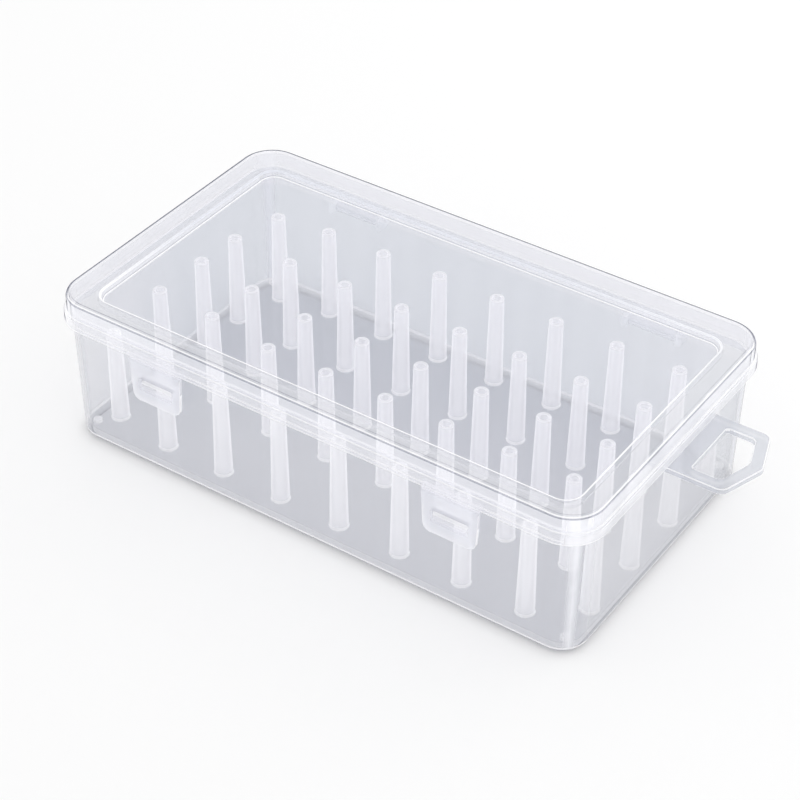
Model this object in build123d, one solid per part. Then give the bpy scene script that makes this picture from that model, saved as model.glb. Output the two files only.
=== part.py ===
from build123d import *
import math
import os

os.makedirs("parts", exist_ok=True)

# overall sizes of the closed box, without the handle, the latches and the hinges
BOX_LENGTH = 237.0
BOX_DEPTH = 137.0
BOX_HEIGHT = 66.0
CORNER_RADIUS = 15.0

# lid, its height taken from the foot of its skirt to its top
LID_HEIGHT = 12.0
SKIRT_HEIGHT = 5.4
SKIRT_ROUND = 1.1
SKIRT_STEP = 1.2
LID_WALL = 1.3
LID_TOP_ROUND = 1.6
LID_INNER_ROUND = 0.4
LID_THICKNESS = 1.4
BORDER_WIDTH = 11.3
BORDER_LAND = 0.4
BORDER_FALL = 2.9
RECESS_DEPTH = 5.2
RECESS_DRAFT = 15.0
RECESS_CORNER = 7.0

# base
LID_CLEARANCE = 0.5
BASE_DRAFT = 1.2
BASE_WALL = 1.6
FLOOR_THICKNESS = 3.4
FLOOR_ROUND_OUTER = 3.0
FLOOR_ROUND_INNER = 1.2
RIM_WALL = 1.0
RIM_STEP_DROP = 2.5
RIM_OVERLAP = 5.0

# thread pegs, their margins taken from the outline of the box
PEG_HEADROOM = 21.5
PEG_TOP_RADIUS = 2.95
PEG_BOTTOM_RADIUS = 3.7
PEG_FOOT_RADIUS = 4.0
PEG_FOOT_HEIGHT = 1.2
PEG_WALL = 1.15
PEG_LIP_ROUND = 0.35
PEG_COLUMNS = 8
PEG_LEFT_MARGIN = 16.1
PEG_HANDLE_MARGIN = 29.8
PEG_ROWS = 5
PEG_SIDE_MARGIN = 14.5
END_COLUMN_COUNT = 4
END_COLUMN_FRONT_MARGIN = 29.0
END_COLUMN_BACK_MARGIN = 21.6
END_PEG_WALL_GAP = 0.5
# rows and pegs that stand out of line: how far back, and how far along and back
STRAY_ROWS = {1: 3.2}
STRAY_PEGS = {
    (0, 0): (0.0, 3.8),
    (1, 0): (-3.6, 6.0),
    (2, 0): (-2.6, 7.6),
    (3, 0): (-1.6, 1.4),
    (4, 0): (3.6, -2.9),
    (1, 1): (-2.9, 3.8),
    (2, 1): (-1.3, 3.5),
}

# corner nubs on the floor
NUB_RADIUS = 1.9
NUB_HEIGHT = 1.3
NUB_ROUND = 0.8
NUB_WALL_GAP = 0.1

# latches, their middles measured in from the ends of the box
LATCH_END_MARGIN = 53.0
LATCH_WIDTH = 24.0
LATCH_TAPER = 1.0
LATCH_THICKNESS = 1.6
LATCH_LENGTH = 17.2
LATCH_CORNER = 4.0
LATCH_SKIRT_GAP = 0.7
LATCH_PIVOT_GAP = 0.1
MOUNT_HEIGHT = 2.1
WINDOW_WIDTH = 15.6
WINDOW_TOP_DROP = 6.8
WINDOW_HEIGHT = 5.2
WINDOW_CORNER = 0.8
CATCH_SIDE_GAP = 0.5
CATCH_UNDER_GAP = 0.3
CATCH_HEIGHT = 3.8
CATCH_FACE_INSET = 0.5
CATCH_CHAMFER = 1.2

# rear hinges, measured in the same way
HINGE_END_MARGIN = 49.0
HINGE_WIDTH = 26.0
HINGE_LUG = 2.3
HINGE_SIDE_GAP = 0.3
PIN_RADIUS = 1.4
PIN_CLEARANCE = 0.05
KNUCKLE_WALL = 1.15
KNUCKLE_WALL_GAP = 0.35
PIVOT_DROP = 6.0
ARM_THICKNESS = 2.6
ARM_LAP = 2.8
CLIP_MOUTH = 2.0

# carrying handle
HANDLE_WIDTH = 37.4
HANDLE_REACH = 27.6
HANDLE_POINT = 6.2
HANDLE_SHIFT = 8.7
HANDLE_THICKNESS = 2.6
HANDLE_SKIRT_GAP = 0.5
HANDLE_BAR = 5.2
HANDLE_ROOT = 6.2
HANDLE_CORNER = 4.0
HANDLE_WINDOW_CORNER = 2.0
HANDLE_EDGE_ROUND = 0.7

HALF_LENGTH = BOX_LENGTH / 2
HALF_DEPTH = BOX_DEPTH / 2
SKIRT_BOTTOM = BOX_HEIGHT - LID_HEIGHT
SKIRT_TOP = SKIRT_BOTTOM + SKIRT_HEIGHT
LID_INSET = SKIRT_STEP + LID_WALL
BASE_INSET = LID_INSET + LID_CLEARANCE
RIM_START = SKIRT_BOTTOM - RIM_STEP_DROP
RIM_TOP = SKIRT_BOTTOM + RIM_OVERLAP
STEP_TOP = BOX_HEIGHT - BORDER_FALL
PANEL_TOP = BOX_HEIGHT - RECESS_DEPTH
PANEL_BOTTOM = PANEL_TOP - LID_THICKNESS
RECESS_INSET = SKIRT_STEP + BORDER_WIDTH
PEG_TOP = BOX_HEIGHT - PEG_HEADROOM
PEG_COLUMN_PITCH = (BOX_LENGTH - PEG_LEFT_MARGIN - PEG_HANDLE_MARGIN) / (PEG_COLUMNS - 1)
PEG_ROW_PITCH = (BOX_DEPTH - 2 * PEG_SIDE_MARGIN) / (PEG_ROWS - 1)
END_COLUMN_PITCH = (
    BOX_DEPTH - END_COLUMN_FRONT_MARGIN - END_COLUMN_BACK_MARGIN) / (END_COLUMN_COUNT - 1)


def inset_block(inset, bottom, top, draft=0.0, corner=None):
    """A rounded block, its top edge set in from the widest outline of the box."""
    radius = CORNER_RADIUS - inset if corner is None else corner
    outline = RectangleRounded(BOX_LENGTH - 2 * inset, BOX_DEPTH - 2 * inset, radius)
    face = Plane.XY.offset(top) * outline
    return extrude(face, amount=-(top - bottom), taper=draft)


def funnel(top_inset, top_corner, top, low_inset, low_corner, low):
    """A block that narrows from a wide outline at its top to a smaller one."""
    wide = RectangleRounded(BOX_LENGTH - 2 * top_inset, BOX_DEPTH - 2 * top_inset, top_corner)
    narrow = RectangleRounded(BOX_LENGTH - 2 * low_inset, BOX_DEPTH - 2 * low_inset, low_corner)
    return loft([Plane.XY.offset(low) * narrow, Plane.XY.offset(top) * wide], ruled=True)


def draft_shift(height, degrees):
    """How far a drafted wall leans over a height."""
    return height * math.tan(math.radians(degrees))


def base_block():
    """The base with no hollow: what stands on its walls is trimmed with it."""
    block = inset_block(BASE_INSET, 0, RIM_TOP, BASE_DRAFT)
    return fillet(block.edges().group_by(Axis.Z)[0], FLOOR_ROUND_OUTER)


def base_cavity():
    """The space inside the base, wider above the step at the rim."""
    step_inset = BASE_INSET + draft_shift(RIM_TOP - RIM_START, BASE_DRAFT)
    lower = inset_block(step_inset + BASE_WALL, FLOOR_THICKNESS, RIM_START, BASE_DRAFT)
    lower = fillet(lower.edges().group_by(Axis.Z)[0], FLOOR_ROUND_INNER)
    upper = inset_block(BASE_INSET + RIM_WALL, RIM_START, RIM_TOP, BASE_DRAFT)
    return lower + upper


def slab(bottom, top):
    """A plate wider than the box, for cutting it across."""
    return Pos(0, 0, (bottom + top) / 2) * Box(3 * BOX_LENGTH, 3 * BOX_DEPTH, top - bottom)


def bar(x_low, x_high, y_low, y_high, z_low, z_high):
    """A straight bar between two corners."""
    size = (x_high - x_low, y_high - y_low, z_high - z_low)
    middle = ((x_low + x_high) / 2, (y_low + y_high) / 2, (z_low + z_high) / 2)
    return Pos(*middle) * Box(*size)


def wall_inset(height):
    """How far the outside of the base wall is set in at a height."""
    return BASE_INSET + draft_shift(RIM_TOP - height, BASE_DRAFT)


def make_base():
    """The tray and its thinner rim."""
    shell = base_block() - base_cavity()
    tray = shell & slab(0, RIM_START)
    rim = shell & slab(RIM_START, RIM_TOP)
    return tray, rim


def make_peg():
    """One hollow tapered peg on the floor, open at the top."""
    top_bore = PEG_TOP_RADIUS - PEG_WALL
    bottom_bore = PEG_BOTTOM_RADIUS - PEG_WALL
    foot = FLOOR_THICKNESS
    profile = Polyline(
        (bottom_bore, foot),
        (PEG_FOOT_RADIUS, foot),
        (PEG_BOTTOM_RADIUS, foot + PEG_FOOT_HEIGHT),
        (PEG_TOP_RADIUS, PEG_TOP - PEG_LIP_ROUND),
        (PEG_TOP_RADIUS - PEG_LIP_ROUND, PEG_TOP),
        (top_bore + PEG_LIP_ROUND, PEG_TOP),
        (top_bore, PEG_TOP - PEG_LIP_ROUND),
        close=True,
    )
    return revolve(Plane.XZ * make_face(profile), Axis.Z)


def end_peg_x():
    """How far out a peg may stand and still clear the rounded foot of the end wall."""
    floor_edge = HALF_LENGTH - wall_inset(FLOOR_THICKNESS) - BASE_WALL - FLOOR_ROUND_INNER
    return floor_edge - PEG_FOOT_RADIUS - END_PEG_WALL_GAP


def peg_row(row):
    """The places of the pegs in one row, counted from the front."""
    y = PEG_SIDE_MARGIN - HALF_DEPTH + row * PEG_ROW_PITCH + STRAY_ROWS.get(row, 0.0)
    places = []
    for column in range(PEG_COLUMNS):
        x = PEG_LEFT_MARGIN - HALF_LENGTH + column * PEG_COLUMN_PITCH
        along, back = STRAY_PEGS.get((row, column), (0.0, 0.0))
        places.append((max(x + along, -end_peg_x()), y + back))
    return places


def end_column():
    """The places of the pegs along the handle end, between the rows."""
    places = []
    for step in range(END_COLUMN_COUNT):
        y = END_COLUMN_FRONT_MARGIN - HALF_DEPTH + step * END_COLUMN_PITCH
        places.append((end_peg_x(), y))
    return places


def make_pegs(places):
    """A group of pegs as separate solids."""
    peg = make_peg()
    return Compound(children=[Pos(x, y, 0) * peg for x, y in places])


def make_nubs():
    """The four small nubs at the corners of the floor."""
    nub = Pos(0, 0, FLOOR_THICKNESS) * Cylinder(
        NUB_RADIUS, NUB_HEIGHT, align=(Align.CENTER, Align.CENTER, Align.MIN))
    nub = fillet(nub.edges().group_by(Axis.Z)[-1], NUB_ROUND)
    floor_inset = wall_inset(FLOOR_THICKNESS) + BASE_WALL + FLOOR_ROUND_INNER
    reach = (CORNER_RADIUS - floor_inset - NUB_RADIUS - NUB_WALL_GAP) / 2 ** 0.5
    x = HALF_LENGTH - CORNER_RADIUS + reach
    y = HALF_DEPTH - CORNER_RADIUS + reach
    spots = [(-x, -y), (x, -y), (-x, y), (x, y)]
    return Compound(children=[Pos(a, b, 0) * nub for a, b in spots])


def make_lid():
    """The recessed panel and the border that slopes down to it, with the lid's wall."""
    outside = inset_block(SKIRT_STEP, SKIRT_TOP, BOX_HEIGHT)
    outside = fillet(outside.edges().group_by(Axis.Z)[-1], LID_TOP_ROUND)
    slope_inset = SKIRT_STEP + LID_TOP_ROUND + BORDER_LAND
    slope_corner = CORNER_RADIUS - slope_inset
    recess = funnel(slope_inset, slope_corner, BOX_HEIGHT, RECESS_INSET, RECESS_CORNER, STEP_TOP)
    recess = recess + inset_block(RECESS_INSET, PANEL_TOP, STEP_TOP, RECESS_DRAFT, RECESS_CORNER)
    hollow = inset_block(LID_INSET, SKIRT_TOP, BOX_HEIGHT - LID_THICKNESS)
    hollow = fillet(hollow.edges().group_by(Axis.Z)[-1], LID_INNER_ROUND)
    step_inset = RECESS_INSET - LID_WALL
    step_corner = RECESS_CORNER + LID_WALL
    under = funnel(slope_inset, slope_corner, BOX_HEIGHT - LID_THICKNESS,
                   step_inset, step_corner, STEP_TOP - LID_THICKNESS)
    under = under + inset_block(step_inset, PANEL_BOTTOM, STEP_TOP, RECESS_DRAFT, step_corner)
    shell = outside - recess - (hollow - under)
    step_shift = draft_shift(RECESS_DEPTH - BORDER_FALL, RECESS_DRAFT)
    panel_inset = RECESS_INSET + step_shift
    panel_corner = RECESS_CORNER - step_shift
    core = inset_block(panel_inset, PANEL_BOTTOM - 1, BOX_HEIGHT, 0, panel_corner)
    return shell & core, shell - core


def make_skirt():
    """The wider band round the foot of the lid."""
    ring = inset_block(0, SKIRT_BOTTOM, SKIRT_TOP)
    ring = fillet(ring.edges().group_by(Axis.Z)[-1], SKIRT_ROUND)
    ring = fillet(ring.edges().group_by(Axis.Z)[0], SKIRT_ROUND)
    return ring - inset_block(LID_INSET, SKIRT_BOTTOM - 1, SKIRT_TOP + 1)


def latch_plane_y():
    """The middle of the latch plate and of its pivot line."""
    return -(HALF_DEPTH + LATCH_SKIRT_GAP)


def make_mount(centre, skirt):
    """The lip on the skirt that a latch hangs from."""
    y = latch_plane_y()
    bottom = SKIRT_BOTTOM + LATCH_THICKNESS / 2 + LATCH_PIVOT_GAP
    lip = bar(centre - LATCH_WIDTH / 2, centre + LATCH_WIDTH / 2,
              y - LATCH_THICKNESS / 2, -(HALF_DEPTH - SKIRT_ROUND),
              bottom, bottom + MOUNT_HEIGHT)
    front = lip.edges().group_by(Axis.Y)[0].group_by(Axis.Z)[-1]
    return fillet(front, LATCH_THICKNESS / 2) - skirt


def make_latch(centre):
    """A latch tab with its window, hanging from the pivot line."""
    y = latch_plane_y()
    half = LATCH_WIDTH / 2
    low = SKIRT_BOTTOM - LATCH_LENGTH
    outline = Polyline(
        (-half, SKIRT_BOTTOM),
        (half, SKIRT_BOTTOM),
        (half - LATCH_TAPER, low),
        (-half + LATCH_TAPER, low),
        close=True,
    )
    face = make_face(outline)
    face = fillet(face.vertices().group_by(Axis.Y)[0], LATCH_CORNER)
    plate = extrude(Plane.XZ.offset(-y) * face, amount=LATCH_THICKNESS / 2, both=True)
    window_top = SKIRT_BOTTOM - WINDOW_TOP_DROP
    window = RectangleRounded(WINDOW_WIDTH, WINDOW_HEIGHT, WINDOW_CORNER)
    window = Pos(0, window_top - WINDOW_HEIGHT / 2) * window
    plate = plate - extrude(Plane.XZ.offset(-y) * window, amount=LATCH_THICKNESS, both=True)
    round_edge = Pos(0, y, SKIRT_BOTTOM) * Rot(0, 90, 0) * Cylinder(LATCH_THICKNESS / 2, LATCH_WIDTH)
    plate = plate + round_edge
    return Pos(centre, 0, 0) * plate


def make_catch(centre, block):
    """The wedge on the front wall that a latch window drops over."""
    half = WINDOW_WIDTH / 2 - CATCH_SIDE_GAP
    bottom = SKIRT_BOTTOM - WINDOW_TOP_DROP - WINDOW_HEIGHT + CATCH_UNDER_GAP
    top = bottom + CATCH_HEIGHT
    face_y = latch_plane_y() - LATCH_THICKNESS / 2 + CATCH_FACE_INSET
    root_y = -(HALF_DEPTH - wall_inset(bottom) - BASE_WALL)
    wedge = bar(centre - half, centre + half, face_y, root_y, bottom, top)
    front = wedge.edges().group_by(Axis.Y)[0].group_by(Axis.Z)[-1]
    return chamfer(front, CATCH_CHAMFER) - block


def pivot_place():
    """The hinge line behind the back wall, as y and z."""
    z = SKIRT_BOTTOM - PIVOT_DROP
    wall_y = HALF_DEPTH - wall_inset(z)
    return wall_y + KNUCKLE_WALL_GAP + knuckle_radius(), z


def knuckle_radius():
    """The outside radius of the lid's clips and of the base's lugs."""
    return PIN_RADIUS + PIN_CLEARANCE + KNUCKLE_WALL


def make_lugs(centre, block):
    """The pair of lugs that carry one hinge pin."""
    y, z = pivot_place()
    radius = knuckle_radius()
    lugs = []
    for side in (-1, 1):
        x = centre + side * (HINGE_WIDTH - HINGE_LUG) / 2
        eye = Pos(x, y, z) * Rot(0, 90, 0) * Cylinder(radius, HINGE_LUG)
        web = bar(x - HINGE_LUG / 2, x + HINGE_LUG / 2, y - 2 * radius, y, z - radius, z + radius)
        lugs.append((eye + web) - block)
    return Compound(children=lugs)


def make_pin(centre):
    """The pin between two lugs."""
    y, z = pivot_place()
    return Pos(centre, y, z) * Rot(0, 90, 0) * Cylinder(PIN_RADIUS, HINGE_WIDTH - 2 * HINGE_LUG)


def make_arm(centre, skirt):
    """The lid's hinge arm, with the open clip that grips the pin."""
    y, z = pivot_place()
    radius = knuckle_radius()
    width = HINGE_WIDTH - 2 * HINGE_LUG - 2 * HINGE_SIDE_GAP
    ring = Pos(centre, y, z) * Rot(0, 90, 0) * Cylinder(radius, width)
    plate = bar(centre - width / 2, centre + width / 2, y - ARM_THICKNESS / 2, y + ARM_THICKNESS / 2,
                z, SKIRT_BOTTOM + ARM_LAP)
    bore = Pos(centre, y, z) * Rot(0, 90, 0) * Cylinder(PIN_RADIUS + PIN_CLEARANCE, 2 * width)
    mouth = bar(centre - width, centre + width, y - CLIP_MOUTH / 2, y + CLIP_MOUTH / 2,
                z - 2 * radius, z)
    top = (ring + plate).edges().filter_by(Axis.X).group_by(Axis.Z)[-1].group_by(Axis.Y)[-1]
    arm = fillet(top, ARM_THICKNESS / 3)
    return arm - bore - mouth - skirt


def handle_outline(width, root_x, arm_x, tip_x, corner, root_corner):
    """A blunt pointed outline lying on the end wall."""
    half = width / 2
    outline = Polyline(
        (root_x, -half),
        (arm_x, -half),
        (tip_x, 0),
        (arm_x, half),
        (root_x, half),
        close=True,
    )
    face = make_face(outline)
    face = fillet(face.vertices().filter_by(lambda v: v.X > root_x + 0.01), corner)
    if root_corner:
        face = fillet(face.vertices().group_by(Axis.X)[0], root_corner)
    return face


def make_handle(block):
    """The flat loop handle on the end wall, just under the lid."""
    tip = HALF_LENGTH + HANDLE_REACH
    shoulder = tip - HANDLE_POINT
    wall_x = HALF_LENGTH - BASE_INSET
    top = SKIRT_BOTTOM - HANDLE_SKIRT_GAP
    outer = handle_outline(HANDLE_WIDTH, wall_x - BASE_WALL, shoulder, tip, HANDLE_CORNER, 0)
    inner = handle_outline(HANDLE_WIDTH - 2 * HANDLE_BAR, HALF_LENGTH + HANDLE_ROOT,
                           shoulder - HANDLE_BAR, tip - HANDLE_BAR, HANDLE_WINDOW_CORNER,
                           HANDLE_WINDOW_CORNER)
    plate = extrude(outer - inner, amount=-HANDLE_THICKNESS)
    ends = plate.edges().group_by(Axis.Z)
    plate = fillet(ends[0] + ends[-1], HANDLE_EDGE_ROUND)
    return (Pos(0, HANDLE_SHIFT, top) * plate) - block


def save(name, shape):
    """Write one node's solids."""
    export_step(shape, "parts/" + name + ".step")
    print(name, len(shape.solids()), round(shape.volume, 1))


def main():
    """Build every node and write it."""
    block = base_block()
    tray, rim = make_base()
    save("base_tray", tray)
    save("base_rim", rim)
    for row in range(PEG_ROWS):
        save("pegs_row_" + str(row + 1), make_pegs(peg_row(row)))
    save("pegs_end_column", make_pegs(end_column()))
    save("corner_nubs", make_nubs())
    save("carry_handle", make_handle(block))

    panel, border = make_lid()
    skirt = make_skirt()
    save("lid_panel", panel)
    save("lid_border", border)
    save("lid_skirt", skirt)

    for side, sign in (("left", -1), ("right", 1)):
        latch_x = sign * (HALF_LENGTH - LATCH_END_MARGIN)
        hinge_x = sign * (HALF_LENGTH - HINGE_END_MARGIN)
        save("catch_" + side, make_catch(latch_x, block))
        save("latch_mount_" + side, make_mount(latch_x, skirt))
        save("latch_tab_" + side, make_latch(latch_x))
        save("hinge_lugs_" + side, make_lugs(hinge_x, block))
        save("hinge_pin_" + side, make_pin(hinge_x))
        save("hinge_arm_" + side, make_arm(hinge_x, skirt))
    print("hinge line", pivot_place(), "latch line", latch_plane_y(), SKIRT_BOTTOM)


main()
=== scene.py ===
import math

import bpy
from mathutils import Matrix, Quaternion, Vector


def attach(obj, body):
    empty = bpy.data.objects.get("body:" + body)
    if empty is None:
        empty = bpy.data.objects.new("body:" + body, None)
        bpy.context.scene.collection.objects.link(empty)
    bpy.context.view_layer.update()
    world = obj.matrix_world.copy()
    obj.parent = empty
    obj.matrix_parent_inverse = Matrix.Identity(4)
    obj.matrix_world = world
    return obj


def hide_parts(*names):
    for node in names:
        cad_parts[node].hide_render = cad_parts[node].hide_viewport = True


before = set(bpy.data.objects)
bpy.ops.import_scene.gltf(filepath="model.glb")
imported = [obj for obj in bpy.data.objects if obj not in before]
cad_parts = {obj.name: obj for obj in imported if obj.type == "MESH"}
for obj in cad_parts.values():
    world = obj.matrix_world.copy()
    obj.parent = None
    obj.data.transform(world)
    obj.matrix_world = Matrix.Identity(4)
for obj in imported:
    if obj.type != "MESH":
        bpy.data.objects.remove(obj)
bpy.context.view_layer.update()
mm = 0.001
print("frame loaded:", len(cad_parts), "nodes")


def linear(hexColour):
    # sRGB hex to the linear colour that the sockets hold
    parts = [int(hexColour[i:i + 2], 16) / 255 for i in (0, 2, 4)]
    return tuple(p / 12.92 if p <= 0.04045 else ((p + 0.055) / 1.055) ** 2.4 for p in parts) + (1.0,)


def addNode(tree, kind, inputs=None, **settings):
    # one node with its settings; an input takes a value, an output or a node, which gives its first output
    node = tree.nodes.new(kind)
    for name, value in settings.items():
        setattr(node, name, value)
    for name, value in (inputs or {}).items():
        source = value.outputs[0] if isinstance(value, bpy.types.Node) else value
        if isinstance(source, bpy.types.NodeSocket):
            tree.links.new(source, node.inputs[name])
        else:
            node.inputs[name].default_value = source
    return node


def workOn(*pieces):
    # only these are selected, and the first one is active
    if bpy.context.object and bpy.context.object.mode != "OBJECT":
        bpy.ops.object.mode_set(mode="OBJECT")
    bpy.ops.object.select_all(action="DESELECT")
    for piece in pieces:
        piece.select_set(True)
    if pieces:
        bpy.context.view_layer.objects.active = pieces[0]


def settle(piece):
    # the place goes into the mesh, so that the object stands at the origin
    workOn(piece)
    bpy.ops.object.transform_apply(location=True, rotation=True, scale=True)


def modify(piece, kind, **settings):
    workOn(piece)
    modifier = piece.modifiers.new(kind.lower(), kind)
    for name, value in settings.items():
        setattr(modifier, name, value)
    bpy.ops.object.modifier_apply(modifier=modifier.name)


def smooth(piece, angle=32):
    # flat faces stay flat and the rounds between them shade evenly
    workOn(piece)
    bpy.ops.object.shade_smooth_by_angle(angle=math.radians(angle))
    modify(piece, "WEIGHTED_NORMAL", keep_sharp=True, weight=100)


def joinAs(name, *pieces):
    workOn(*pieces)
    if len(pieces) > 1:
        bpy.ops.object.join()
    whole = bpy.context.object
    whole.name = name
    settle(whole)
    return whole


def mergeDoubles():
    bpy.ops.mesh.select_all(action="SELECT")
    bpy.ops.mesh.remove_doubles(threshold=0.00001)


def pick(piece, kind, test):
    # leaves edit mode open with the chosen faces, edges or corners selected, places in mm
    workOn(piece)
    bpy.ops.object.mode_set(mode="EDIT")
    bpy.ops.mesh.select_mode(type=kind)
    bpy.ops.mesh.select_all(action="DESELECT")
    bpy.ops.object.mode_set(mode="OBJECT")
    corners = [v.co / mm for v in piece.data.vertices]
    if kind == "FACE":
        for face in piece.data.polygons:
            face.select = test(face.center / mm, face.normal)
    elif kind == "EDGE":
        for edge in piece.data.edges:
            edge.select = test(corners[edge.vertices[0]], corners[edge.vertices[1]])
    else:
        for corner in piece.data.vertices:
            corner.select = test(corners[corner.index])
    bpy.ops.object.mode_set(mode="EDIT")


def block(low, high):
    # a cube primitive at its size and place, from corner to corner in mm
    workOn()
    middle = [(a + b) / 2 * mm for a, b in zip(low, high)]
    bpy.ops.mesh.primitive_cube_add(size=1, location=middle)
    piece = bpy.context.object
    piece.scale = [(b - a) * mm for a, b in zip(low, high)]
    settle(piece)
    return piece


def turn(radius, start, end, count):
    # steps (inset, rise) round an arc, as the way turns: 90 is up, 0 level inwards, -90 down
    reach = radius if end > start else -radius
    steps = []
    for i in range(count):
        a = math.radians(start + (end - start) * i / count)
        b = math.radians(start + (end - start) * (i + 1) / count)
        steps.append((reach * (math.sin(b) - math.sin(a)), -reach * (math.cos(b) - math.cos(a))))
    return steps


def walk(steps):
    # the selected face is inset and raised step by step, in mm
    for inset, rise in steps:
        bpy.ops.mesh.inset(thickness=max(inset, 0.001) * mm, depth=rise * mm)


def lean(height, degrees):
    # how far a face that leans by this angle moves over its height
    return height * math.tan(math.radians(degrees))


# the outline that the walls of tray and lid share
box = {"length": 237.0, "depth": 137.0, "height": 66.0, "corner": 15.0, "cornerSteps": 18}


def outlinePlate(inset, height, corner=None):
    # a plane with rounded corners, left in edit mode with its face selected
    workOn()
    bpy.ops.mesh.primitive_plane_add(size=1, location=(0, 0, height * mm))
    plate = bpy.context.object
    plate.scale = ((box["length"] - 2 * inset) * mm, (box["depth"] - 2 * inset) * mm, 1)
    settle(plate)
    bpy.ops.object.mode_set(mode="EDIT")
    bpy.ops.mesh.select_mode(type="VERT")
    bpy.ops.mesh.select_all(action="SELECT")
    radius = box["corner"] - inset if corner is None else corner
    bpy.ops.mesh.bevel(offset=radius * mm, segments=box["cornerSteps"], affect="VERTICES")
    bpy.ops.mesh.select_mode(type="FACE")
    bpy.ops.mesh.select_all(action="SELECT")
    return plate


def turnInsideOut():
    bpy.ops.mesh.select_all(action="SELECT")
    bpy.ops.mesh.flip_normals()


def closeShell(name, outside, inside):
    # the two skins share their first ring, and merging it closes the wall
    shell = joinAs(name, outside, inside)
    bpy.ops.object.mode_set(mode="EDIT")
    mergeDoubles()
    smooth(shell)
    return shell


# tray: floor and drafted walls, thinner at the rim that stands inside the lid
tray = {
    "inset": 3.0, "top": 59.0, "lip": 0.35, "rimWall": 1.0, "rimStart": 51.5, "ledgeRound": 0.3, "draft": 1.2,
    "floor": 3.4, "outerRound": 3.0, "innerRound": 1.2,
    # heights on the round of the foot: the painted highlight line lies above the first, the painted shade
    # line below the second
    "footLine": 1.8, "footShade": 0.3,
}


def makeTray():
    top = tray["top"] - tray["lip"]
    outside = outlinePlate(tray["inset"], top)
    foot = turn(tray["outerRound"], -90 + tray["draft"], 0, 8)
    drop = top + sum(rise for inset, rise in foot)
    walk([(lean(drop, tray["draft"]), -drop)])
    walk(foot)
    turnInsideOut()
    inside = outlinePlate(tray["inset"], top)
    walk(turn(tray["lip"], 90, 0, 4))
    walk([(tray["rimWall"] - 2 * tray["lip"], 0)])
    walk(turn(tray["lip"], 0, -90, 4))
    drop = top - tray["rimStart"]
    walk([(lean(drop, tray["draft"]), -drop)])
    walk(turn(tray["ledgeRound"], -90, 0, 3) + turn(tray["ledgeRound"], 0, -90, 3))
    foot = turn(tray["innerRound"], -90 + tray["draft"], 0, 6)
    drop = tray["rimStart"] - 2 * tray["ledgeRound"] - tray["floor"] + sum(rise for inset, rise in foot)
    walk([(lean(drop, tray["draft"]), -drop)])
    walk(foot)
    return closeShell("trayShell", outside, inside)


# lid: skirt, wall, a border that falls gently inwards, a step and the sunk panel
lid = {
    "skirtFoot": 54.0, "skirtHeight": 5.4, "skirtRound": 1.1, "footRound": 0.5, "step": 1.2, "wallFoot": 0.07,
    "wall": 1.3, "topRound": 1.6, "innerRound": 0.4, "thickness": 1.4, "land": 0.4, "fall": 2.9,
    "stepInset": 12.5, "stepCorner": 7.0, "stepBead": 0.7, "beadLean": 17.0, "stepLip": 0.45, "lipLean": 20.0,
    "stepFoot": 0.8, "panelDepth": 5.2, "draft": 15.0,
}
# where the land on top ends and the border starts to slope, from the widest outline
slopeStart = lid["step"] + lid["topRound"] + lid["land"]


def borderInset(place):
    # how far a place lies inside the widest outline of the box
    x = abs(place.x) - box["length"] / 2 + box["corner"]
    y = abs(place.y) - box["depth"] / 2 + box["corner"]
    return box["corner"] - (math.hypot(x, y) if x > 0 and y > 0 else max(x, y))


def joinSlope(name, wall, panel, high, low):
    # the border slopes from the open edge of the wall to the open edge of the panel
    skin = joinAs(name, wall, panel)
    onWall = lambda p: abs(p.z - high) < 0.01 and borderInset(p) > slopeStart - 0.05
    onEdge = lambda p: abs(p.z - low) < 0.01 or onWall(p)
    pick(skin, "EDGE", lambda a, b: onEdge(a) and onEdge(b))
    bpy.ops.mesh.bridge_edge_loops()
    return skin


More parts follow.
